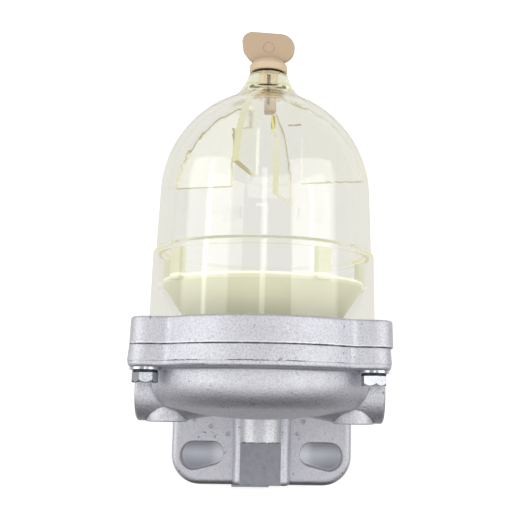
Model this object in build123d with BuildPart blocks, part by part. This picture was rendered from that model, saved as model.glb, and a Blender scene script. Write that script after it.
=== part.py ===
from build123d import *
import os
from math import acos, asin, cos, radians, sin, sqrt, tan

os.makedirs("parts", exist_ok=True)

# Fuel water separator with a clear sediment bowl, in millimetres, as it hangs in service.
# The origin is midway between the two bracket slots, on the face that meets the wall.
# +Y points into the wall, +X is to the viewer's right in front of the separator, +Z is up.
# Heights are measured from the joint face between the head and the clamp ring.

# Place of the bowl's axis and of the joint face
wall_to_axis = 60.0
slot_height = 51.3

# Flange pair: a circle with four ears that carry the bolts
flange_radius = 58.0
ear_overhang = 0.3
ear_half_width = flange_radius + ear_overhang
ear_half_depth = 41.2
ear_corner = 8.0
ear_blend = 5.0
flange_thickness = 10.0
parting_height = 7.3
parting_ledge = 0.2
flange_draft = 5.0
flange_round = 1.6
seam_chamfer = 0.3
ring_thickness = 12.2
ring_shift = -0.6
ring_overhang = 0.6
ring_draft = 1.8
ring_round = 1.2

# Head dome and its cavity
dome_inset = 5.3
dome_radius = flange_radius - dome_inset
dome_top = 32.6
dome_draft = 2.5
crown_radius = 190.0
dome_shoulder = 12.5
dome_foot = 1.6
head_wall = 4.0

# Inlet and outlet ports, with the upright pillars that are cast on them
port_overhang = 0.2
port_reach = flange_radius + port_overhang
port_height = 19.6
port_radius = 14.2
port_round = 1.2
thread_core_radius = 6.2
thread_depth = 14.0
spot_face_radius = 10.4
spot_face_depth = 0.6
passage_radius = 4.6
pillar_inset = 14.1
pillar_reach = port_reach - pillar_inset
pillar_radius = 9.8
pillar_forward = 2.0
pillar_rise = 1.5
pillar_top = dome_top + pillar_rise
pillar_round = 0.6
root_start_inset = 21.2
root_length = 21.0
root_start = port_reach - root_start_inset
root_end = root_start - root_length
root_radius = 10.4

# Centre boss and outlet duct inside the dome
boss_radius = 14.0
boss_bore_radius = 8.05
boss_seat = 6.0
boss_bore_depth = 20.0
duct_radius = 8.5
inlet_boss_depth = 10.7
inlet_boss_reach = dome_radius - inlet_boss_depth
passage_overrun = 1.0

# Bracket: plate with two slots, spine, cast nose and milled flat
plate_thickness = 13.0
plate_half_width = 46.8
plate_top_margin = 15.3
plate_top = slot_height + plate_top_margin
plate_foot = 3.0
plate_corner = 15.0
plate_round = 3.4
slot_spacing = 62.0
slot_length = 22.2
slot_outer_radius = 7.0
slot_inner_radius = 5.8
slot_lower_edge = slot_height - (slot_outer_radius + slot_inner_radius) / 2
slot_edge_round = 0.8
spine_half_width = 13.6
spine_shift = -0.15
spine_proud = 5.0
spine_foot = 1.4
spine_round = 3.2
spine_top_round = 1.6
nose_radius = 11.1
nose_shift = 0.4
nose_proud = 12.6
nose_top_gap = 6.5
nose_top = slot_height - nose_top_gap
flat_half_width = 10.6
flat_proud = 4.3
gate_left = -4.3
gate_right = 14.9
gate_height = 0.9
gate_depth = 7.0

# Bolts, washers and their holes
bolt_side_margin = 7.5
bolt_end_margin = 8.2
bolt_x = ear_half_width - bolt_side_margin
bolt_y = ear_half_depth - bolt_end_margin
bolt_radius = 2.95
bolt_hole_radius = 3.3
tapped_hole_radius = 3.0
bolt_length = 24.2
seat_radius = 7.4
seat_height = 5.0
bolt_tip_chamfer = 0.6
hex_across_flats = 10.0
hex_height = 4.6
hex_bevel = 0.7
flat_washer_radius = 7.0
flat_washer_thickness = 1.4
spring_washer_radius = 5.6
spring_washer_thickness = 1.0
washer_bore_radius = 3.2
spring_washer_gap = 1.1
spring_washer_slant = 25.0
bolt_turns = {"front_left": 23.5, "front_right": 48.8, "rear_left": 4.0, "rear_right": 37.0}
spring_washer_turns = {"front_left": 204.5, "front_right": 381.6, "rear_left": 68.0, "rear_right": 299.0}

# Bowl: radii go inwards from the flange, heights down from the joint face
rim_inset = 2.4
rim_radius = flange_radius - rim_inset
rim_thickness = 4.6
rim_gap = 1.0
rim_width = 1.4
bowl_rim_wall_radius = rim_radius - rim_width
upper_wall_draft = 0.6
bowl_shoulder_radius = bowl_rim_wall_radius - upper_wall_draft
step_width = 1.3
bowl_waist_radius = bowl_shoulder_radius - step_width
waist_draft = 0.9
bowl_end_radius = bowl_waist_radius - waist_draft
bowl_wall = 2.7
upper_wall = 2.4
upper_bore_radius = bowl_shoulder_radius - upper_wall
step_height = 45.6
step_drop = 1.8
step_round = 1.0
ledge_rise = 1.8
ledge_height = step_height - ledge_rise
waist_length = 28.7
dome_centre_height = step_height + waist_length
dome_stretch = 1.05
outer_long_radius = bowl_end_radius * dome_stretch
neck_radius = 9.9
neck_blend_start = 21.3
neck_length = 9.73
neck_end = dome_centre_height + outer_long_radius + neck_length
neck_bore_radius = 4.8
neck_bore_length = 9.0
neck_bore_top = neck_end - neck_bore_length
funnel_start = 13.0
funnel_radius = 6.9
neck_chamfer = 0.4

# Ribs inside the bowl's end
rib_angles = (15.0, 105.0, 195.0, 285.0)
rib_thickness = 3.0
rib_inner_radius = 18.0
rib_end_drop = 7.0
rib_step_drop = 37.7
rib_throat_radius = 11.0
rib_sink = 0.8

# Seal between bowl and head
seal_side_gap = 0.2
seal_width = 3.8
seal_outer_radius = rim_radius - seal_side_gap
seal_inner_radius = seal_outer_radius - seal_width
seal_groove_depth = 1.6
seal_groove_play = 0.3

# Clamp ring bore
ring_rim_play = 0.2
ring_mouth_play = 0.35
mouth_round = 0.5

# Diffuser cone
cone_side_gap = 3.0
cone_rim_radius = upper_bore_radius - cone_side_gap
cone_rim_height = 31.8
cone_lip = 2.6
cone_knee_radius = 27.2
cone_knee_height = 1.0
cone_seat_radius = 14.0
cone_wall = 1.8
cone_throat_radius = 5.4
spigot_play = 0.05
spigot_radius = boss_bore_radius - spigot_play
spigot_length = 9.0
spigot_groove_rise = 4.5
spigot_groove_height = boss_seat + spigot_groove_rise
spigot_groove_width = 1.3
spigot_groove_radius = 6.9
spigot_seal_play = 0.01
lug_angles = (10.0, 170.0, 237.0, 320.0)
lug_width = 7.0
lug_side_gap = 0.6
lug_depth = 3.6
lug_outer_radius = upper_bore_radius - lug_side_gap
lug_inner_radius = lug_outer_radius - lug_depth
lug_overlap = 2.3
lug_root_height = cone_rim_height - lug_overlap
lug_round = 0.5

# Drain plug and its sealing washer
collar_radius = 9.5
collar_height = 3.3
collar_cone_radius = 7.9
collar_cone_height = 2.6
collar_chamfer = 0.4
shank_play = 0.05
shank_radius = neck_bore_radius - shank_play
shank_length = 10.4
shank_top = neck_end - shank_length
shank_chamfer = 0.5
tip_radius = 4.6
tip_length = 7.9
tip_end = shank_top - tip_length
tip_chamfer = 0.7
tip_flat = 1.65
flute_width = 1.3
flute_top_gap = 3.1
flute_top = tip_end + flute_top_gap
flute_length = 13.2
flute_floor = 2.0
flute_shift = -0.3
wing_thickness = 4.6
wing_round = 1.1
wing_lobes = ((8.4, 18.0, 5.2), (6.9, 15.4, 6.3), (5.2, 13.2, 6.3), (-5.6, 14.9, 7.5))
wing_mark_radius = 3.0
wing_mark_width = 0.5
wing_mark_depth = 0.2
wing_mark_drop = 14.6
drain_seal_inner_radius = 5.4
drain_seal_outer_radius = 8.3
drain_seal_thickness = 1.6
drain_seal_round = 0.5

# Frames shared by the sub-parts
axis_origin = (0, -wall_to_axis, -slot_height)
joint = Plane(origin=axis_origin)
section = Plane(origin=axis_origin, x_dir=(1, 0, 0), z_dir=(0, -1, 0))
wall_face = Plane(origin=(0, 0, -slot_height), x_dir=(1, 0, 0), z_dir=(0, -1, 0))
bowl_axis = Axis(axis_origin, (0, 0, 1))


def flange_outline(grow=0.0):
    """Circle with four rounded ears, blended where the ears meet the circle."""
    radius = flange_radius + grow
    ear_edge = ear_half_depth + grow
    crossing = sqrt(radius * radius - ear_edge * ear_edge)
    with BuildSketch() as outline:
        Circle(radius)
        RectangleRounded(2 * (ear_half_width + grow), 2 * ear_edge, ear_corner + grow)
        meeting_points = [(x, y, 0) for x in (-crossing, crossing) for y in (-ear_edge, ear_edge)]
        corners = [outline.vertices().sort_by_distance(point)[0] for point in meeting_points]
        fillet(corners, ear_blend - grow)
    return outline.sketch


def dome_points(reach, depth, throat_radius, end_angle):
    """Three points on an oval quarter of the bowl's end, from the throat up to an angle below its centre."""
    throat_angle = acos(throat_radius / reach)
    angles = (throat_angle, (throat_angle + end_angle) / 2, end_angle)
    return [(reach * cos(angle), -dome_centre_height - depth * sin(angle)) for angle in angles]


def bolt_places():
    """The four bolt centres in the joint plane."""
    return GridLocations(2 * bolt_x, 2 * bolt_y, 2, 2)


def crown_edge(radius, top, crown):
    """Height of the crown arc at a radius."""
    return top - crown + sqrt(crown * crown - radius * radius)


def dome_section(side_radius, foot, bottom, top, crown, shoulder):
    """Half section of a dome with a drafted side, a round shoulder and a crowned top."""
    corner_radius = side_radius - (crown_edge(side_radius, top, crown) - bottom) * sin(radians(dome_draft))
    corner = (corner_radius, crown_edge(corner_radius, top, crown))
    half_way = (corner_radius / 2, crown_edge(corner_radius / 2, top, crown))
    with BuildSketch() as half:
        with BuildLine():
            Polyline((0, top), (0, bottom), (side_radius, bottom), corner)
            ThreePointArc(corner, half_way, (0, top))
        make_face()
        shoulder_vertex = half.vertices().sort_by_distance((corner[0], corner[1], 0))[0]
        fillet(shoulder_vertex, shoulder)
        if foot > 0:
            with BuildLine():
                toe = (side_radius + foot, bottom)
                heel = (side_radius, bottom + foot)
                belly = foot * (1 - cos(radians(45)))
                Polyline(heel, (side_radius - foot, bottom + foot), (side_radius - foot, bottom), toe)
                ThreePointArc(toe, (side_radius + belly, bottom + belly), heel)
            make_face()
    return half.sketch


# Flange of the head, widest at the parting line of the casting
with BuildPart() as flange:
    with BuildSketch(joint):
        add(flange_outline())
    extrude(amount=parting_height, taper=-flange_draft)
    with BuildSketch(joint.offset(parting_height)):
        add(flange_outline(parting_height * tan(radians(flange_draft)) - parting_ledge))
    extrude(amount=flange_thickness - parting_height, taper=flange_draft)
    fillet(flange.faces().sort_by(Axis.Z)[-1].edges(), flange_round)
    chamfer(flange.faces().sort_by(Axis.Z)[0].edges(), seam_chamfer)

# Ports, each with a root that sinks into the crown, and their pillars
with BuildPart() as ports:
    for side in (-1, 1):
        port_section = Plane(
            origin=(0, -wall_to_axis, port_height - slot_height), x_dir=(side, 0, 0), z_dir=(0, -side, 0)
        )
        with BuildSketch(port_section) as port_outline:
            with BuildLine():
                Polyline(
                    (root_end, 0),
                    (root_end, root_radius),
                    (root_start, port_radius),
                    (port_reach, port_radius),
                    (port_reach, 0),
                    close=True,
                )
            make_face()
            port_corner = port_outline.vertices().sort_by_distance((port_reach, port_radius, 0))[0]
            fillet(port_corner, port_round)
        revolve(axis=Axis(port_section.origin, (1, 0, 0)))
with BuildPart() as pillars:
    with BuildSketch(joint.offset(flange_thickness)):
        with Locations((-pillar_reach, -pillar_forward), (pillar_reach, -pillar_forward)):
            Circle(pillar_radius)
    extrude(amount=pillar_top - flange_thickness)
    fillet(pillars.faces().filter_by(Axis.Z).group_by(Axis.Z)[-1].edges(), pillar_round)

# Bracket: slotted plate first, then the spine with its nose and milled flat
with BuildPart() as bracket:
    with BuildSketch(wall_face) as plate_outline:
        with Locations((0, (plate_top + plate_foot) / 2)):
            Rectangle(2 * plate_half_width, plate_top - plate_foot)
        fillet(plate_outline.vertices().group_by(Axis.Y)[-1], plate_corner)
    extrude(amount=plate_thickness)
    front_rim = bracket.faces().sort_by(Axis.Y)[0].edges().sort_by(Axis.Z)[1:]
    fillet(front_rim, plate_round)
    with BuildSketch(wall_face) as slots:
        slot_middle = slot_spacing / 2
        slot_half = slot_length / 2
        with Locations((slot_middle + slot_half - slot_outer_radius, slot_lower_edge + slot_outer_radius)):
            Circle(slot_outer_radius)
        with Locations((slot_middle - slot_half + slot_inner_radius, slot_lower_edge + slot_inner_radius)):
            Circle(slot_inner_radius)
        make_hull()
        mirror(about=Plane.YZ)
    extrude(amount=plate_thickness, mode=Mode.SUBTRACT)
    slot_rims = [wire.edges() for wire in bracket.faces().sort_by(Axis.Y)[0].inner_wires()]
    fillet([edge for rim in slot_rims for edge in rim], slot_edge_round)
with BuildPart() as spine:
    plate_front = wall_to_axis - plate_thickness
    with BuildSketch(joint.offset(plate_foot)) as spine_outline:
        with BuildLine():
            Polyline(
                (spine_shift - spine_half_width - spine_foot, plate_front + plate_thickness / 2),
                (spine_shift - spine_half_width - spine_foot, plate_front),
                (spine_shift - spine_half_width, plate_front - spine_proud),
                (spine_shift + spine_half_width, plate_front - spine_proud),
                (spine_shift + spine_half_width + spine_foot, plate_front),
                (spine_shift + spine_half_width + spine_foot, plate_front + plate_thickness / 2),
                close=True,
            )
        make_face()
        fillet(spine_outline.vertices().group_by(Axis.Y)[0], spine_round)
    extrude(amount=plate_top - plate_foot)
    fillet(spine.faces().sort_by(Axis.Z)[-1].edges().sort_by(Axis.Y)[:-1], spine_top_round)
    with BuildSketch(joint.offset(plate_foot)):
        with Locations((nose_shift, plate_front - nose_proud + nose_radius)):
            Circle(nose_radius)
    extrude(amount=nose_top - plate_foot)
    with BuildSketch(joint.offset(nose_top)):
        with Locations((nose_shift, plate_front - flat_proud - spine_proud)):
            Rectangle(2 * flat_half_width, 2 * spine_proud)
    extrude(amount=plate_top - nose_top, mode=Mode.SUBTRACT)
with BuildPart() as gate:
    with BuildSketch(joint.offset(plate_top - gate_height)):
        with Locations(((gate_left + gate_right) / 2, wall_to_axis - plate_thickness / 2)):
            RectangleRounded(gate_right - gate_left, gate_depth, gate_height)
    extrude(amount=2 * gate_height)

# Head: one casting
with BuildPart() as head:
    add(flange.part)
    with BuildSketch(section):
        add(dome_section(dome_radius, dome_foot, flange_thickness, dome_top, crown_radius, dome_shoulder))
    revolve(axis=bowl_axis)
    add(ports.part)
    add(pillars.part)
    add(bracket.part)
    add(spine.part)
    add(gate.part)
    # cavity that opens at the joint face
    with BuildSketch(section):
        add(
            dome_section(
                dome_radius - head_wall,
                0,
                0,
                dome_top - head_wall,
                crown_radius - head_wall,
                dome_shoulder - head_wall,
            )
        )
    revolve(axis=bowl_axis, mode=Mode.SUBTRACT)
    # centre boss and outlet duct, joined to the crown
    with BuildSketch(joint.offset(boss_seat)):
        Circle(boss_radius)
    extrude(amount=dome_top - head_wall / 2 - boss_seat)
    port_middle = Plane(
        origin=(0, -wall_to_axis, port_height - slot_height), x_dir=(0, 1, 0), z_dir=(1, 0, 0)
    )
    with BuildSketch(port_middle):
        Circle(duct_radius)
    extrude(amount=dome_radius - head_wall / 2)
    with BuildSketch(port_middle.offset(head_wall / 2 - dome_radius)):
        Circle(duct_radius)
    extrude(amount=dome_radius - head_wall / 2 - inlet_boss_reach)
    with BuildSketch(joint.offset(boss_seat)):
        Circle(boss_bore_radius)
    extrude(amount=boss_bore_depth, mode=Mode.SUBTRACT)
    # port threads, spot faces and passages; the left port opens into the cavity, the right one into the boss
    for side, passage_end in ((-1, inlet_boss_reach - passage_overrun), (1, 0)):
        end_face = Plane(
            origin=(side * port_reach, -wall_to_axis, port_height - slot_height),
            x_dir=(0, 1, 0),
            z_dir=(side, 0, 0),
        )
        with BuildSketch(end_face):
            Circle(spot_face_radius)
        extrude(amount=-spot_face_depth, mode=Mode.SUBTRACT)
        with BuildSketch(end_face):
            Circle(thread_core_radius)
        extrude(amount=-spot_face_depth - thread_depth, mode=Mode.SUBTRACT)
        with BuildSketch(end_face):
            Circle(passage_radius)
        extrude(amount=passage_end - port_reach, mode=Mode.SUBTRACT)
    # groove for the bowl seal
    with BuildSketch(joint):
        Circle(seal_outer_radius + seal_groove_play)
        Circle(seal_inner_radius - seal_groove_play, mode=Mode.SUBTRACT)
    extrude(amount=seal_groove_depth, mode=Mode.SUBTRACT)
    # bolt holes and the seats milled round them
    with BuildSketch(joint):
        with bolt_places():
            Circle(bolt_hole_radius)
    extrude(amount=flange_thickness, mode=Mode.SUBTRACT)
    with BuildSketch(joint.offset(flange_thickness)):
        with bolt_places():
            Circle(seat_radius)
    extrude(amount=seat_height, mode=Mode.SUBTRACT)
head.part.label = "head"

# Clamp ring: holds the rim of the bowl against the head
with BuildPart() as clamp_ring:
    with BuildSketch(joint):
        with Locations((ring_shift, 0)):
            add(flange_outline(ring_overhang))
    extrude(amount=-ring_thickness, taper=ring_draft)
    fillet(clamp_ring.faces().sort_by(Axis.Z)[0].edges(), ring_round)
    chamfer(clamp_ring.faces().sort_by(Axis.Z)[-1].edges(), seam_chamfer)
    with BuildSketch(joint):
        Circle(rim_radius + ring_rim_play)
    extrude(amount=-rim_gap - rim_thickness, mode=Mode.SUBTRACT)
    with BuildSketch(joint):
        Circle(bowl_rim_wall_radius + ring_mouth_play)
    extrude(amount=-ring_thickness, mode=Mode.SUBTRACT)
    mouth_edge = clamp_ring.faces().sort_by(Axis.Z)[0].inner_wires()[0].edges()
    fillet(mouth_edge, mouth_round)
    with BuildSketch(joint):
        with bolt_places():
            Circle(tapped_hole_radius)
    extrude(amount=-ring_thickness, mode=Mode.SUBTRACT)
clamp_ring.part.label = "clamp_ring"

# Bowl seal: flat rubber ring in the groove of the head
with BuildPart() as bowl_seal:
    with BuildSketch(joint.offset(-rim_gap)):
        Circle(seal_outer_radius)
        Circle(seal_inner_radius, mode=Mode.SUBTRACT)
    extrude(amount=rim_gap + seal_groove_depth)
bowl_seal.part.label = "bowl_seal"

# Bowl: clear moulding with a rim, a step, a domed end, a drain neck and four ribs
inner_end_radius = bowl_end_radius - bowl_wall
inner_waist_radius = bowl_waist_radius - bowl_wall
inner_long_radius = outer_long_radius - bowl_wall
with BuildPart() as bowl:
    with BuildSketch(section) as bowl_section:
        with BuildLine() as wall:
            rim = Polyline(
                (upper_bore_radius, -rim_gap),
                (rim_radius, -rim_gap),
                (rim_radius, -rim_gap - rim_thickness),
                (bowl_rim_wall_radius, -rim_gap - rim_thickness),
                (bowl_shoulder_radius, -step_height),
                (bowl_waist_radius, -step_height - step_drop),
                (bowl_end_radius, -dome_centre_height),
            )
            outer_dome = ThreePointArc(*dome_points(bowl_end_radius, outer_long_radius, neck_blend_start, 0))
            neck_outside = TangentArc(outer_dome @ 0, (neck_radius, -neck_end), tangent=outer_dome % 0 * -1)
            drain = Polyline(
                (neck_radius, -neck_end),
                (neck_bore_radius, -neck_end),
                (neck_bore_radius, -neck_bore_top),
                (funnel_radius, -neck_bore_top),
            )
            inner_dome = ThreePointArc(*dome_points(inner_end_radius, inner_long_radius, funnel_start, 0))
            Line(drain @ 1, inner_dome @ 0)
            inside = Polyline(
                (inner_end_radius, -dome_centre_height),
                (inner_waist_radius, -ledge_height),
                (upper_bore_radius, -ledge_height),
                (upper_bore_radius, -rim_gap),
            )
        make_face()
        step_points = (
            (bowl_shoulder_radius, -step_height, 0),
            (bowl_waist_radius, -step_height - step_drop, 0),
        )
        step_corners = [bowl_section.vertices().sort_by_distance(point)[0] for point in step_points]
        fillet(step_corners, step_round)
    revolve(axis=bowl_axis)
    chamfer(bowl.faces().sort_by(Axis.Z)[0].edges(), neck_chamfer)
    for angle in rib_angles:
        along = radians(angle)
        rib_plane = Plane(
            origin=axis_origin, x_dir=(cos(along), sin(along), 0), z_dir=(sin(along), -cos(along), 0)
        )
        with BuildSketch(rib_plane):
            with BuildLine():
                reach = inner_end_radius + rib_sink
                depth = inner_long_radius + rib_sink
                end_angle = asin(rib_end_drop / depth)
                wall_line = ThreePointArc(*dome_points(reach, depth, rib_throat_radius, end_angle))
                Polyline(
                    wall_line @ 1,
                    (rib_inner_radius, -dome_centre_height - rib_end_drop),
                    (rib_inner_radius, -dome_centre_height - rib_step_drop),
                    (rib_throat_radius, -dome_centre_height - rib_step_drop),
                    wall_line @ 0,
                )
            make_face()
        extrude(amount=rib_thickness / 2, both=True)
bowl.part.label = "bowl"

# Diffuser cone: sends the fuel outwards to the bowl wall, stands on its lugs and plugs into the head
cone_slope = (cone_rim_radius - cone_knee_radius) / (cone_rim_height - cone_lip + cone_knee_height)
cone_skin = cone_wall * sqrt(1 + cone_slope * cone_slope)
cone_inner_rise = (cone_skin - cone_wall) / cone_slope
with BuildPart() as diffuser_cone:
    with BuildSketch(section):
        with BuildLine():
            Polyline(
                (cone_throat_radius, boss_seat + spigot_length),
                (spigot_radius, boss_seat + spigot_length),
                (spigot_radius, spigot_groove_height + spigot_groove_width),
                (spigot_groove_radius, spigot_groove_height + spigot_groove_width),
                (spigot_groove_radius, spigot_groove_height),
                (spigot_radius, spigot_groove_height),
                (spigot_radius, boss_seat),
                (cone_seat_radius, boss_seat),
                (cone_knee_radius, cone_knee_height),
                (cone_rim_radius, cone_lip - cone_rim_height),
                (cone_rim_radius, -cone_rim_height),
                (cone_rim_radius - cone_wall, -cone_rim_height),
                (cone_rim_radius - cone_wall, cone_lip - cone_rim_height - cone_inner_rise),
                (cone_knee_radius - cone_wall, cone_knee_height - cone_inner_rise),
                (cone_throat_radius, boss_seat - cone_wall),
                close=True,
            )
        make_face()
    revolve(axis=bowl_axis)
    for angle in lug_angles:
        lug_plane = Plane(
            origin=(0, -wall_to_axis, -slot_height - ledge_height),
            x_dir=(cos(radians(angle)), sin(radians(angle)), 0),
        )
        with BuildSketch(lug_plane):
            with Locations(((lug_inner_radius + lug_outer_radius) / 2, 0)):
                RectangleRounded(lug_outer_radius - lug_inner_radius, lug_width, lug_round)
        extrude(amount=ledge_height - lug_root_height)
diffuser_cone.part.label = "diffuser_cone"

# Spigot seal: small rubber ring between the cone's spigot and the bore of the boss
with BuildPart() as spigot_seal:
    seal_middle = (boss_bore_radius + spigot_groove_radius) / 2
    with BuildSketch(section):
        with Locations((seal_middle, spigot_groove_height + spigot_groove_width / 2)):
            Circle(boss_bore_radius - seal_middle - spigot_seal_play)
    revolve(axis=bowl_axis)
spigot_seal.part.label = "spigot_seal"

# Drain plug: wing, collar, threaded shank and half-cut tip
collar_top = neck_end + drain_seal_thickness
collar_end = collar_top + collar_height + collar_cone_height
with BuildPart() as wing:
    with BuildSketch(section):
        for lobe_x, lobe_drop, lobe_radius in wing_lobes:
            with Locations((lobe_x, -neck_end - lobe_drop)):
                Circle(lobe_radius)
        make_hull()
    extrude(amount=wing_thickness / 2, both=True)
    for wing_face in wing.faces().filter_by(Axis.Y):
        fillet(wing_face.edges(), wing_round)
    wing_front = Plane(
        origin=(0, -wall_to_axis - wing_thickness / 2, -slot_height - neck_end - wing_mark_drop),
        x_dir=(1, 0, 0),
        z_dir=(0, -1, 0),
    )
    with BuildSketch(wing_front):
        Circle(wing_mark_radius)
        Circle(wing_mark_radius - wing_mark_width, mode=Mode.SUBTRACT)
    extrude(amount=-wing_mark_depth, mode=Mode.SUBTRACT)
with BuildPart() as shank:
    with BuildSketch(section):
        with BuildLine():
            Polyline(
                (0, -tip_end),
                (tip_radius - tip_chamfer, -tip_end),
                (tip_radius, -tip_end - tip_chamfer),
                (tip_radius, -shank_top),
                (shank_radius - shank_chamfer, -shank_top),
                (shank_radius, -shank_top - shank_chamfer),
                (shank_radius, -collar_top),
                (0, -collar_top),
                close=True,
            )
        make_face()
    revolve(axis=bowl_axis)
    with BuildSketch(joint.offset(-shank_top)):
        with Locations((tip_flat + tip_radius, 0)):
            Rectangle(2 * tip_radius, 2 * tip_radius)
    extrude(amount=shank_top - tip_end, mode=Mode.SUBTRACT)
    with BuildSketch(joint.offset(-flute_top)):
        with Locations((flute_shift, -flute_floor - shank_radius)):
            Rectangle(flute_width, 2 * shank_radius)
    extrude(amount=-flute_length, mode=Mode.SUBTRACT)
with BuildPart() as drain_plug:
    with BuildSketch(section):
        with BuildLine():
            Polyline(
                (0, -collar_top),
                (collar_radius - collar_chamfer, -collar_top),
                (collar_radius, -collar_top - collar_chamfer),
                (collar_radius, -collar_top - collar_height),
                (collar_cone_radius, -collar_end),
                (0, -collar_end),
                close=True,
            )
        make_face()
    revolve(axis=bowl_axis)
    add(wing.part)
    add(shank.part)
drain_plug.part.label = "drain_plug"

# Drain seal: black rubber washer under the collar of the plug
with BuildPart() as drain_seal:
    with BuildSketch(section) as drain_seal_section:
        middle = (drain_seal_inner_radius + drain_seal_outer_radius) / 2
        with Locations((middle, -neck_end - drain_seal_thickness / 2)):
            RectangleRounded(
                drain_seal_outer_radius - drain_seal_inner_radius, drain_seal_thickness, drain_seal_round
            )
    revolve(axis=bowl_axis)
drain_seal.part.label = "drain_seal"

# Bolts and washers, one of each at every ear
bolt_centres = {
    "front_left": (-bolt_x, -bolt_y),
    "front_right": (bolt_x, -bolt_y),
    "rear_left": (-bolt_x, bolt_y),
    "rear_right": (bolt_x, bolt_y),
}
spring_seat = flange_thickness + flat_washer_thickness
head_seat = spring_seat + spring_washer_thickness
hex_corner_radius = hex_across_flats / sqrt(3)


def flat_washer(centre):
    """Plain washer on the flange."""
    with BuildPart() as washer:
        with BuildSketch(joint.offset(flange_thickness)):
            with Locations(centre):
                Circle(flat_washer_radius)
                Circle(washer_bore_radius, mode=Mode.SUBTRACT)
        extrude(amount=flat_washer_thickness)
        chamfer(washer.faces().sort_by(Axis.Z)[-1].outer_wire().edges(), flat_washer_thickness / 4)
    return washer.part


def spring_washer(centre, turn):
    """Split washer, its gap cut at a slant."""
    with BuildPart() as washer:
        with BuildSketch(joint.offset(spring_seat)):
            with Locations(centre):
                Circle(spring_washer_radius)
                Circle(washer_bore_radius, mode=Mode.SUBTRACT)
        extrude(amount=spring_washer_thickness)
        along = radians(turn)
        lean = radians(spring_washer_slant)
        half_way = spring_seat + spring_washer_thickness / 2
        gap_plane = Plane(
            origin=(centre[0], centre[1] - wall_to_axis, half_way - slot_height),
            x_dir=(cos(along), sin(along), 0),
            z_dir=(-sin(along) * sin(lean), cos(along) * sin(lean), cos(lean)),
        )
        with BuildSketch(gap_plane):
            with Locations((spring_washer_radius, 0)):
                Rectangle(spring_washer_radius, spring_washer_gap)
        extrude(amount=2 * spring_washer_thickness, both=True, mode=Mode.SUBTRACT)
    return washer.part


def hex_bolt(centre, turn):
    """Hexagon bolt, its head bevelled all round and its shank chamfered at the tip."""
    with BuildPart() as bolt:
        with BuildSketch(joint.offset(head_seat)):
            with Locations(Location((centre[0], centre[1], 0), (0, 0, turn))):
                RegularPolygon(hex_corner_radius, 6)
        extrude(amount=hex_height)
        bolt_axis = Axis((centre[0], centre[1] - wall_to_axis, 0), (0, 0, 1))
        crown = Plane(
            origin=(centre[0], centre[1] - wall_to_axis, head_seat - slot_height),
            x_dir=(1, 0, 0),
            z_dir=(0, -1, 0),
        )
        with BuildSketch(crown):
            with BuildLine():
                Polyline(
                    (0, 0),
                    (hex_corner_radius, 0),
                    (hex_corner_radius, hex_height - hex_bevel / 2),
                    (hex_across_flats / 2 - hex_bevel / 2, hex_height),
                    (0, hex_height),
                    close=True,
                )
            make_face()
        revolve(axis=bolt_axis, mode=Mode.INTERSECT)
        with BuildSketch(joint.offset(head_seat)):
            with Locations(centre):
                Circle(bolt_radius)
        extrude(amount=-bolt_length)
        chamfer(bolt.faces().sort_by(Axis.Z)[0].edges(), bolt_tip_chamfer)
    return bolt.part


fasteners = {}
for name, centre in bolt_centres.items():
    fasteners["flat_washer_" + name] = flat_washer(centre)
    fasteners["spring_washer_" + name] = spring_washer(centre, spring_washer_turns[name])
    fasteners["bolt_" + name] = hex_bolt(centre, bolt_turns[name])
for name, fastener in fasteners.items():
    fastener.label = name

# One file for each piece
export_step(head.part, "parts/head.step")
export_step(clamp_ring.part, "parts/clamp_ring.step")
export_step(bowl_seal.part, "parts/bowl_seal.step")
export_step(bowl.part, "parts/bowl.step")
export_step(diffuser_cone.part, "parts/diffuser_cone.step")
export_step(spigot_seal.part, "parts/spigot_seal.step")
export_step(drain_plug.part, "parts/drain_plug.step")
export_step(drain_seal.part, "parts/drain_seal.step")
for name, fastener in fasteners.items():
    export_step(fastener, f"parts/{name}.step")
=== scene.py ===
import math

import bpy
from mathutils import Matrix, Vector


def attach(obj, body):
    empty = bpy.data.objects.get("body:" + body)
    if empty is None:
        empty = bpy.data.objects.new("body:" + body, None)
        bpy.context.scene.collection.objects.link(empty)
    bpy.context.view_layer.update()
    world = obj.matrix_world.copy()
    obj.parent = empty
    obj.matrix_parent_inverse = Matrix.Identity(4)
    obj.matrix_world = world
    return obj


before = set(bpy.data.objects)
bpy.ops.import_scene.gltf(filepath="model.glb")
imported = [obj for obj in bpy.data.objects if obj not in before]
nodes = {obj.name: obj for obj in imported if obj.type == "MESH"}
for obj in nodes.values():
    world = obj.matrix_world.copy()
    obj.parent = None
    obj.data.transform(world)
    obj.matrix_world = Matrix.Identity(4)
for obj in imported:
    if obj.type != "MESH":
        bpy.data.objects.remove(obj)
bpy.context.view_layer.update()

# Head and clamp ring
# Both are aluminium gravity castings, blasted after casting, with drafted sides and a fine sandy skin.
# The port faces, the nose's flat and the wall face are machined afterwards and show tool marks.


class Wire:
    """A node's socket in Python sums: each operator adds its Math node."""

    def __init__(self, finish, socket):
        self.finish = finish
        self.socket = socket

    def maths(self, operation, *others, clamp=False):
        settings = {"operation": operation, "use_clamp": clamp}
        return self.finish.node("Math", settings, dict(enumerate((self,) + others)))

    def __add__(self, other):
        return self.maths("ADD", other)

    def __sub__(self, other):
        return self.maths("SUBTRACT", other)

    def __mul__(self, other):
        return self.maths("MULTIPLY", other)

    def __truediv__(self, other):
        return self.maths("DIVIDE", other)

    def __pow__(self, other):
        return self.maths("POWER", other)

    def __gt__(self, other):
        return self.maths("GREATER_THAN", other)

    def __lt__(self, other):
        return self.maths("LESS_THAN", other)

    def __rsub__(self, other):
        return self.finish.node("Math", {"operation": "SUBTRACT"}, {0: other, 1: self})

    __radd__ = __add__
    __rmul__ = __mul__


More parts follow.
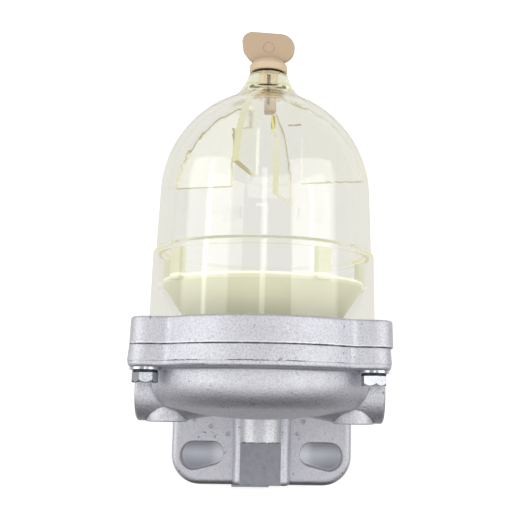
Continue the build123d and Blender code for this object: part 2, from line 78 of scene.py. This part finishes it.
class Finish:
    """The nodes of a material or a world, added one call or one sum at a time."""

    def __init__(self, owner):
        owner.use_nodes = True
        self.owner = owner
        self.tree = owner.node_tree
        self.tree.nodes.clear()

    def node(self, kind, settings=None, inputs=None, output=0):
        """Adds a node: its settings first, then the values or links of its sockets."""
        node = self.tree.nodes.new("ShaderNode" + kind)
        for name, value in (settings or {}).items():
            setattr(node, name, value)
        for name, value in (inputs or {}).items():
            if isinstance(value, Wire):
                self.tree.links.new(value.socket, node.inputs[name])
            else:
                node.inputs[name].default_value = value
        return Wire(self, node.outputs[output])

    def place(self):
        """Where a point of the piece is, in metres."""
        return self.node("TexCoord", output="Object")

    def axes(self):
        """The three coordinates of that place."""
        place = self.place()
        return [self.node("SeparateXYZ", inputs={0: place}, output=i) for i in range(3)]

    def lean(self):
        """How far the surface faces up: 1 on a level face, 0 on an upright one."""
        normal = self.node("NewGeometry", output="Normal")
        return self.node("SeparateXYZ", inputs={0: normal}, output=2)

    def noise(self, size, detail=2.0, roughness=0.5):
        """Cloudy pattern of about that size in metres, from 0 to 1."""
        shape = {"Scale": 1 / size, "Detail": detail, "Roughness": roughness}
        return self.node("TexNoise", inputs={"Vector": self.place(), **shape})

    def rise(self, value, start, end):
        """0 where the value is at start, 1 where it is at end, smooth between them."""
        settings = {"interpolation_type": "SMOOTHSTEP"}
        return self.node("MapRange", settings, {0: value, 1: start, 2: end})

    def near(self, value, middle, inner, outer):
        """1 where the value is within inner of the middle, 0 beyond outer."""
        return self.rise((value - middle).maths("ABSOLUTE"), outer, inner)

    def tint(self, share, below, above):
        """The colour below, turning into the colour above as share rises."""
        return self.node("Mix", {"data_type": "RGBA"}, {0: share, 6: below, 7: above}, output=2)

    def bump(self, height, depth):
        """A surface raised by height times depth in metres."""
        return self.node("Bump", inputs={"Height": height, "Distance": depth, "Strength": 1.0})

    def finish(self, **sockets):
        """Ends the material with a principled shader; a socket's name has _ for a space."""
        inputs = {name.replace("_", " "): value for name, value in sockets.items()}
        self.output(self.node("BsdfPrincipled", inputs=inputs))

    def output(self, shader, volume=None, kind="OutputMaterial"):
        """Ends the nodes with that shader."""
        end = self.tree.nodes.new("ShaderNode" + kind)
        self.tree.links.new(shader.socket, end.inputs["Surface"])
        if volume:
            self.tree.links.new(volume.socket, end.inputs["Volume"])

    def dress(self, *names):
        """Gives the material to CAD nodes."""
        for name in names:
            nodes[name].material_slots[0].material = self.owner


def colour(red, green, blue):
    """A colour as a picture holds it, 0 to 255, as a shader takes it."""
    parts = [value / 255 for value in (red, green, blue)]
    return tuple(v / 12.92 if v <= 0.04045 else ((v + 0.055) / 1.055) ** 2.4 for v in parts) + (1,)


def waves(value, pitch):
    """Even waves from 0 to 1 along the value."""
    return (value * (2 * math.pi / pitch)).maths("SINE") * 0.5 + 0.5


casting = Finish(bpy.data.materials.new("cast_metal"))
x, y, z = casting.axes()
grain = casting.noise(0.0008, detail=3, roughness=0.7)
cloud = casting.noise(0.009, detail=4, roughness=0.65)
streaks = casting.noise(0.0035, detail=3, roughness=0.6)

# the flat and the wall face are milled, smoother than the cast skin and marked by the cutter
nose_x = 0.0004
nose_end = -0.0065
flat_y = -0.0173
milled = casting.near(x, nose_x, 0.0104, 0.0107) * casting.near(y, flat_y, 0.0002, 0.0004)
milled = milled * casting.rise(z, nose_end - 0.0003, nose_end + 0.0001) * (z < 0.0151)
wall_face = y > -0.0002
milled = milled.maths("MAXIMUM", wall_face)
sweep = x + (z + 0.018) ** 2 * 10
feed = waves(sweep, 0.0007) * casting.rise(streaks, 0.35, 0.65)
swath = waves(sweep, 0.0024)

# the port faces are turned with a facing tool, which leaves fine rings
port_face = 0.0576
port_z = -0.0317
flange_top = -0.0413
axis_y = -0.06
turned = (x.maths("ABSOLUTE") > port_face - 0.00015) * (z > flange_top + 0.0001)
rings = waves(((y - axis_y) ** 2 + (z - port_z) ** 2) ** 0.5, 0.0005)

# fine broken marks run along the parting line at the front, and the joint is dark
parting_z = -0.0441
joint_z = -0.0513
runs = casting.noise(0.016)
fleck = casting.noise(0.0013, roughness=0.6)
line = casting.near(z + (streaks - 0.5) * 0.0009, parting_z, 0.00002, 0.00022)
line = line * casting.rise(runs, 0.48, 0.53) * casting.rise(fleck, 0.3, 0.5)
flecks = casting.near(z, parting_z - 0.0005, 0.0004, 0.0012)
flecks = flecks * casting.rise(runs, 0.5, 0.46) * casting.rise(fleck, 0.68, 0.74)
parting = (line + flecks) * casting.rise(y, -0.098, -0.108)
joint = casting.near(z, joint_z, 0.0002, 0.0007) * casting.rise(streaks, 0.3, 0.6)
# painted highlight: a bright line along the edge just below the joint, at the front
painted_joint_highlight = casting.near(z, joint_z - 0.0005, 0.0001, 0.0004) * casting.rise(y, -0.09, -0.1)

# painted shade in the corners, where little light comes in
corners = {"only_local": True, "samples": 8}
painted_crease_shade, painted_seam_shade = (
    1 - casting.node("AmbientOcclusion", corners, {"Distance": reach}, output=1) for reach in (0.008, 0.002)
)

# a broken dark line runs along the step above the milled flat; painted shade fills the plate's end rounding
step = casting.near(z, nose_end + 0.0001, 0.0003, 0.0006) * casting.near(x, nose_x, 0.009, 0.0106)
step = step * (y < flat_y + 0.0005) * casting.rise(fleck, 0.35, 0.55) * (casting.lean() < 0.75)
painted_end_shade = casting.rise(z + (streaks - 0.5) * 0.0012, 0.0126, 0.0140) * (1 - milled) * (y < -0.002)
pinholes = casting.rise(casting.noise(0.0017, detail=1, roughness=0.4), 0.735, 0.79)

# painted highlight: the nose is painted bright on both sides of its ridge
painted_nose_highlight = casting.near(x, -0.0049, 0.0010, 0.0048) + casting.near(x, 0.0064, 0.0008, 0.0036)
painted_nose_highlight = painted_nose_highlight * casting.near(y, -0.0222, 0.0034, 0.0038) * (z > -0.03)

# painted shade: the slots' walls much darker, the plate's front a little darker than the rest
plate_front = -0.013
slot_x = 0.031
painted_plate_shade = casting.near(y, plate_front, 0.0001, 0.0005)
painted_slot_wall_shade = casting.near(x.maths("ABSOLUTE"), slot_x, 0.0115, 0.0118) * casting.near(z, 0, 0.009, 0.0092)
painted_slot_wall_shade = painted_slot_wall_shade * (y > plate_front + 0.0004)

# dark patches lie in a band across the front of the dome
dome_band_patches = casting.near(z, -0.0265, 0.0015, 0.0045) * casting.rise(y, -0.06, -0.08)
dome_band_patches = dome_band_patches * casting.rise(cloud, 0.55, 0.68) * casting.rise(fleck, 0.45, 0.6)

# pits and stains on the slotted plate
stain = 0.0
for spot_x, spot_z, radius in (
    (0.0266, -0.0144, 0.0012),
    (0.0177, -0.0109, 0.0014),
    (0.0244, -0.0093, 0.0009),
    (0.0351, -0.0173, 0.0009),
    (0.0398, -0.0173, 0.0007),
    (-0.0183, -0.0109, 0.0009),
    (-0.0214, -0.0177, 0.0011),
):
    reach = ((x - spot_x) ** 2 + (z - spot_z) ** 2) ** 0.5
    stain = casting.rise(reach + (streaks - 0.5) * 0.002, radius * 1.3, radius * 0.6) + stain
stain = stain * casting.near(y, -0.0145, 0.002, 0.0035)

# painted reflection: the milled flat is painted far darker than the other machined faces; its feed marks
# are real
flat_cut_painted_dark = casting.tint(feed, colour(128, 129, 136), colour(140, 141, 148))
wall_cut = casting.tint(swath * streaks, colour(190, 191, 197), colour(204, 205, 211))
faced = casting.tint(rings, colour(176, 178, 184), colour(214, 216, 222))
skin = casting.tint(cloud, colour(212, 212, 218), colour(232, 232, 238))
for share, coat in (
    (painted_nose_highlight, colour(253, 253, 255)),
    (casting.rise(grain, 0.62, 0.3) * 0.43, colour(150, 149, 156)),
    (casting.rise(painted_crease_shade, 0.25, 0.9) * (1 - milled) * 0.9, colour(88, 89, 94)),
    (casting.rise(painted_seam_shade, 0.1, 0.5) * (y < -0.026) * 0.75, colour(62, 63, 68)),
    (stain * 0.5 + dome_band_patches * 0.5, colour(110, 110, 112)),
    (painted_plate_shade * 0.4, colour(172, 172, 178)),
    (painted_end_shade * 0.52 + pinholes * 0.6, colour(96, 97, 102)),
    (painted_slot_wall_shade * 0.7, colour(96, 97, 104)),
    (painted_joint_highlight * 0.8, colour(252, 252, 254)),
    (milled, casting.tint(wall_face, flat_cut_painted_dark, wall_cut)),
    (turned, faced),
    (parting * 0.85 + joint * 0.5 + step * 0.7, colour(40, 40, 43)),
):
    skin = casting.tint(share, skin, coat)
tooled = milled + turned
relief = grain * (1 - tooled) - (parting + stain + pinholes) * 0.5 + rings * turned * 0.3
casting.finish(
    Base_Color=skin,
    Metallic=1.0,
    Roughness=0.52 - tooled * 0.2,
    Normal=casting.bump(relief, 0.00024),
)
casting.dress("head", "clamp_ring")

# Gate stub
# The metal was poured in at the plate's end, and the runner was sawn off there.
# That left a low stub of the same casting, its edges rounded by the blasting.
bpy.ops.object.select_all(action="DESELECT")
stub_middle = (0.0055, -0.0131, 0.0154)
stub_size = (0.0192, 0.0074, 0.0013)
bpy.ops.mesh.primitive_cube_add(size=1, location=stub_middle)
stub = bpy.context.object
stub.name = "gate_stub"
bpy.ops.object.mode_set(mode="EDIT")
bpy.ops.transform.resize(value=stub_size)
bpy.ops.mesh.bevel(offset=0.0004, segments=3)
bpy.ops.mesh.normals_make_consistent(inside=False)
bpy.ops.object.mode_set(mode="OBJECT")
bpy.ops.object.transform_apply(location=True, rotation=True, scale=True)
stub.data.materials.append(casting.owner)
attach(stub, "housing")

# Port threads
# Both ports are tapped for M14 x 1.5 unions: a right-hand thread with its crests cut bright.
# One profile is wound seven times, and the other port has its copy, turned about the bowl's axis.
thread_crest = 0.0056
thread_height = 0.0009
thread_start = 0.0453
thread_pitch = 0.0015
thread_turns = 7
profile_radius = thread_height * 2 / 3
bpy.ops.object.select_all(action="DESELECT")
bpy.ops.mesh.primitive_circle_add(vertices=3, radius=profile_radius, fill_type="NGON", location=(0, 0, 0))
port_thread = bpy.context.object
port_thread.name = "port_thread_left"
bpy.ops.object.mode_set(mode="EDIT")
bpy.ops.transform.rotate(value=math.pi, orient_axis="Z", center_override=(0, 0, 0))
bpy.ops.transform.translate(value=(0, thread_crest + profile_radius, 0))
bpy.ops.object.mode_set(mode="OBJECT")
winding = port_thread.modifiers.new("winding", "SCREW")
winding.axis = "X"
winding.screw_offset = thread_pitch
winding.iterations = thread_turns
winding.steps = winding.render_steps = 40
bpy.ops.object.modifier_apply(modifier=winding.name)
bpy.ops.object.mode_set(mode="EDIT")
bpy.ops.mesh.select_all(action="SELECT")
bpy.ops.mesh.fill_holes(sides=3)
bpy.ops.mesh.normals_make_consistent(inside=False)
bpy.ops.object.mode_set(mode="OBJECT")
port_thread.location = (thread_start, axis_y, port_z)
bpy.ops.object.transform_apply(location=True, rotation=True, scale=True)
tapped = Finish(bpy.data.materials.new("tapped_metal"))
burr = tapped.noise(0.0009, detail=3, roughness=0.6)
tapped.finish(
    Base_Color=tapped.tint(burr, colour(150, 151, 156), colour(206, 207, 212)),
    Metallic=1.0,
    Roughness=0.28 + burr * 0.2,
)
port_thread.data.materials.append(tapped.owner)
bpy.ops.object.duplicate(linked=False)
other_thread = bpy.context.object
other_thread.name = "port_thread_right"
other_thread.location = (0, axis_y * 2, 0)
other_thread.rotation_euler = (0, 0, math.pi)
bpy.ops.object.transform_apply(location=True, rotation=True, scale=True)
for piece in (port_thread, other_thread):
    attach(piece, "housing")

# Bowl
# It is injection moulded in a clear plastic with a pale yellow tint, with four ribs inside its end.
# The clamp ring holds its rim against the flat seal under the head.
bowl_plastic = Finish(bpy.data.materials.new("clear_bowl"))
wall = bowl_plastic.node(
    "BsdfPrincipled",
    inputs={
        "Base Color": (1, 1, 1, 1),
        "Roughness": 0.03,
        "IOR": 1.49,
        "Transmission Weight": 1.0,
    },
)
clear = bowl_plastic.node("BsdfTransparent")
haze = bowl_plastic.node("VolumeAbsorption", inputs={"Color": (0.975, 0.93, 0.0, 1), "Density": 13.0})

# painted glow: rays caught between the walls past three bounces end in amber emission, darker in the domed
# end
caught = bowl_plastic.node("LightPath", output="Glossy Depth") > 3.5
_, _, height = bowl_plastic.axes()
above_dome = bowl_plastic.rise(height, -0.152, -0.140)
painted_dark_glow, painted_pale_glow = (
    bowl_plastic.node("Emission", inputs={"Color": shade})
    for shade in (colour(172, 163, 124), colour(238, 228, 196))
)
painted_amber_glow = bowl_plastic.node("MixShader", inputs={0: above_dome, 1: painted_dark_glow, 2: painted_pale_glow})
body = bowl_plastic.node("MixShader", inputs={0: caught, 1: wall, 2: painted_amber_glow})
shadow_ray = bowl_plastic.node("LightPath", output="Is Shadow Ray")
bowl_plastic.output(bowl_plastic.node("MixShader", inputs={0: shadow_ray, 1: body, 2: clear}), haze)
bowl_plastic.owner.cycles.emission_sampling = "NONE"
bowl_plastic.dress("bowl")

# Diffuser cone
# It is moulded in cream nylon; a painted highlight rings its open end, and a faint painted glow lightens
# it.
# It stands on the bowl's ledge on four lugs, with its spigot up in the head.
cone_plastic = Finish(bpy.data.materials.new("cream_plastic"))
flow = cone_plastic.noise(0.025, detail=3)
satin = cone_plastic.noise(0.0006, detail=2)
_, _, height = cone_plastic.axes()
rim_z = -0.0831
painted_rim_highlight = cone_plastic.rise(height, rim_z + 0.0017, rim_z + 0.0003)
painted_rim_highlight = painted_rim_highlight * cone_plastic.rise(height, rim_z - 0.0008, rim_z - 0.0003)
cream = cone_plastic.tint(flow, colour(166, 166, 143), colour(180, 180, 158))
cone_plastic.finish(
    Base_Color=cone_plastic.tint(painted_rim_highlight * 0.6, cream, colour(240, 240, 230)),
    Roughness=0.36 + flow * 0.14,
    # painted glow: a faint cream emission lightens the whole cone
    Emission_Color=colour(254, 254, 226),
    Emission_Strength=0.2,
    Normal=cone_plastic.bump(satin + flow, 0.00003),
)
cone_plastic.dress("diffuser_cone")

# Drain plug
# It is moulded in tan plastic, with a wing to turn by hand and a half-cut tip that lets the water out.
# Its thread sits in the bowl's neck. Painted shade makes it greyer inside the neck and darker and greyer at
# the tip.
plug_plastic = Finish(bpy.data.materials.new("tan_plastic"))
x, y, z = plug_plastic.axes()
mottle = plug_plastic.noise(0.004, detail=3)
# painted shade: greyer inside the neck, and darker and greyer towards the tip
inside = plug_plastic.rise(z, -0.1905, -0.1890)
painted_tip_shade = plug_plastic.rise(z + (mottle - 0.5) * 0.004, -0.1800, -0.1760)
collar = plug_plastic.rise(z, -0.1975, -0.1935)
painted_tip_colour = plug_plastic.tint(plug_plastic.rise(x, -0.001, 0.002), colour(176, 156, 136), colour(150, 138, 142))
tan = plug_plastic.tint(collar, colour(189, 165, 138), colour(211, 187, 158))
tan = plug_plastic.tint(inside * 0.8, tan, colour(190, 177, 157))
tan = plug_plastic.tint(painted_tip_shade * 0.8, tan, painted_tip_colour)
plug_pitch = 0.0015
turns = z / plug_pitch + (y - axis_y).maths("ARCTAN2", x) / (2 * math.pi)
thread = inside * plug_plastic.rise(z, -0.1792, -0.1802) * turns.maths("PINGPONG", 0.5)
plug_plastic.finish(
    Base_Color=tan,
    Roughness=0.45,
    Normal=plug_plastic.bump(thread + mottle * 0.15, 0.0006),
)
plug_plastic.dress("drain_plug")

# Seals
# Moulded black rubber rings: a flat one over the bowl's rim and a small one round the cone's spigot.
# A third one lies between the plug's collar and the end of the bowl's neck.
rubber = Finish(bpy.data.materials.new("seal_rubber"))
bloom = rubber.noise(0.003, detail=4, roughness=0.7)
rubber.finish(
    Base_Color=rubber.tint(bloom, colour(4, 4, 5), colour(17, 17, 19)),
    Roughness=0.42 + bloom * 0.25,
    Specular_IOR_Level=0.25,
    Normal=rubber.bump(rubber.noise(0.0003), 0.00002),
)
rubber.dress("bowl_seal", "spigot_seal", "drain_seal")

# Bolts and washers
# Four hexagon bolts in bright zinc plate pull the ring up, each on a flat washer of the same finish.
# Between them sits a spring washer of hardened steel, oiled black.
plating = Finish(bpy.data.materials.new("zinc_steel"))
crystals = plating.noise(0.0011, detail=3, roughness=0.6)
passivation = plating.noise(0.006, detail=2)
zinc = plating.tint(passivation, colour(204, 210, 221), colour(222, 223, 224))
zinc = plating.tint(plating.rise(crystals, 0.55, 0.75) * 0.35, zinc, colour(176, 180, 186))

# painted reflection: a dark arc, deepest at the corners, is painted on every flat at the bevel round each
# head's end
bolt_x = 0.0508
bolt_y = 0.033
head_end = -0.0343
half_flats = 0.005
x, y, z = plating.axes()
side_reach = x.maths("ABSOLUTE") - bolt_x
front_reach = (y - axis_y).maths("ABSOLUTE") - bolt_y
past_flat = (side_reach ** 2 + front_reach ** 2) ** 0.5 - half_flats
painted_dark_arc = plating.rise(z + past_flat * 1.3, head_end - 0.0006, head_end - 0.0003) * (plating.lean() < 0.5)
zinc = plating.tint(painted_dark_arc * 0.8, zinc, colour(52, 56, 66))
plating.finish(
    Base_Color=zinc,
    Metallic=1.0,
    Roughness=0.15 + crystals * 0.12,
    Normal=plating.bump(crystals, 0.00003),
)
spring_steel = Finish(bpy.data.materials.new("black_steel"))
oil = spring_steel.noise(0.002, detail=3)
spring_steel.finish(
    Base_Color=spring_steel.tint(oil, colour(40, 43, 50), colour(72, 76, 84)),
    Metallic=1.0,
    Roughness=0.28 + oil * 0.2,
)
for corner in ("front_left", "front_right", "rear_left", "rear_right"):
    plating.dress(f"bolt_{corner}", f"flat_washer_{corner}")
    spring_steel.dress(f"spring_washer_{corner}")

# Table
# A plain pale surface under the object's back, white to the camera, on which the object's shadow falls.
# Seen through the bracket's slots it has painted shade: greyer, darkest along the edge next to the dome.
bpy.ops.object.select_all(action="DESELECT")
table_level = 0.0005
bpy.ops.mesh.primitive_plane_add(size=4, location=(0, table_level, 0), rotation=(math.radians(90), 0, 0))
table = bpy.context.object
table.name = "table"
table_top = Finish(bpy.data.materials.new("table_top"))
across, along, _ = table_top.axes()
# painted shade under the bracket: less glow, a bluish grey colour, lighter towards the slots' inner ends
painted_shade_under_plate = table_top.near(across, 0, 0.0425, 0.0440) * table_top.near(along, 0, 0.0085, 0.0100)
inner_end = table_top.near(across.maths("ABSOLUTE"), 0.0205, 0.002, 0.008)
painted_shade_by_dome = table_top.rise(along, 0.001, -0.0065)
sheet_with_painted_shade = table_top.tint(painted_shade_under_plate, (0.8, 0.8, 0.79, 1), (0.84, 0.86, 0.97, 1))
sheet_with_painted_shade = table_top.tint(painted_shade_under_plate * painted_shade_by_dome * 0.68, sheet_with_painted_shade, (0.03, 0.03, 0.03, 1))
painted_slot_shade = table_top.tint(inner_end, (0.05, 0.05, 0.049, 1), (0.2, 0.2, 0.197, 1))
lit = table_top.node(
    "BsdfPrincipled",
    inputs={
        "Base Color": sheet_with_painted_shade,
        "Roughness": 1.0,
        "Specular IOR Level": 0.0,
        "Emission Color": table_top.tint(painted_shade_under_plate, (0.34, 0.34, 0.335, 1), painted_slot_shade),
        "Emission Strength": 1.0,
    },
)
behind = table_top.node("NewGeometry", output="Backfacing")
gone = table_top.node("BsdfTransparent")
table_top.output(table_top.node("MixShader", inputs={0: behind, 1: lit, 2: gone}))
table.data.materials.append(table_top.owner)
for ray in ("diffuse", "glossy", "transmission", "volume_scatter", "shadow"):
    setattr(table, f"visible_{ray}", False)

# Room and light
# A white room, darker behind the camera and beyond the head. A tall softbox stands on each side.
# Another one is low in the picture, and two bars and a strip draw the narrow bright lines.
room = bpy.data.worlds.new("room")
bpy.context.scene.world = room
air = Finish(room)
way = air.node("TexCoord", output="Generated")
to_wall, upward = (air.node("SeparateXYZ", inputs={0: way}, output=axis) for axis in (1, 2))
camera_ray, glossy_ray, through_ray = (
    air.node("LightPath", output=f"Is {ray} Ray") for ray in ("Camera", "Glossy", "Transmission")
)
white = (camera_ray + through_ray).maths("ADD", 0.0, clamp=True)
bowl_side = air.rise(to_wall, 0.1, 0.7) * 0.55 + 0.45 + air.rise(upward, -0.2, -0.8) * 0.25
head_side = air.rise(to_wall, 0.2, 0.8) * 0.45 + 0.08
mirrored = bowl_side + air.rise(upward, 0.25, 0.75) * (head_side - bowl_side)
level = (1 - glossy_ray) * 0.7 + glossy_ray * mirrored
sky = air.node("Background", inputs={"Strength": white + (1 - white) * level})
air.output(sky, kind="OutputWorld")
subject = Vector((0, axis_y, -0.1))


def softbox(name, azimuth, elevation, distance, width, height, level):
    """A rectangular lamp that faces the object and shows at that level in a mirror.

    In the picture it stands azimuth degrees to the right of the lens and elevation degrees above it.
    """
    turn, rise = math.radians(azimuth), math.radians(elevation)
    reach = math.cos(rise)
    way = Vector((-math.sin(turn) * reach, -math.cos(turn) * reach, -math.sin(rise)))
    place = subject + distance * way
    bpy.ops.object.light_add(type="AREA", location=place)
    lamp = bpy.context.object
    lamp.name = name
    lamp.data.shape = "RECTANGLE"
    lamp.data.size = width
    lamp.data.size_y = height
    lamp.data.energy = level * math.pi * width * height
    lamp.rotation_euler = (subject - place).to_track_quat("-Z", "Y").to_euler()


softbox("softbox_left", -61, 3, 1.1, 1.1, 1.2, 1.3)
softbox("softbox_right", 54, 3, 1.1, 1.05, 1.25, 1.45)
softbox("bar_left", -59.5, 3, 1.05, 0.07, 1.0, 3.2)
softbox("strip", 0, 8, 1.1, 0.1, 0.5, 1.8)
softbox("softbox_low", 0, -27, 1.1, 1.0, 0.7, 1.3)
softbox("front_bar", 6.5, -1.6, 1.1, 0.25, 0.07, 2.2)

# Camera
# It stands over the table and looks down at it, turned so that the bowl points up in the picture.
bpy.ops.object.camera_add(
    location=(-0.00976, -0.52123, -0.0251),
    rotation=[math.radians(angle) for angle in (-79.949, 0.858, -178.381)],
)
camera = bpy.context.object
camera.data.lens = 65.95
camera.data.shift_x = -0.0932
camera.data.shift_y = -0.0427
camera.data.clip_start = 0.01
bpy.context.scene.camera = camera

bpy.context.scene.view_settings.view_transform = "Standard"
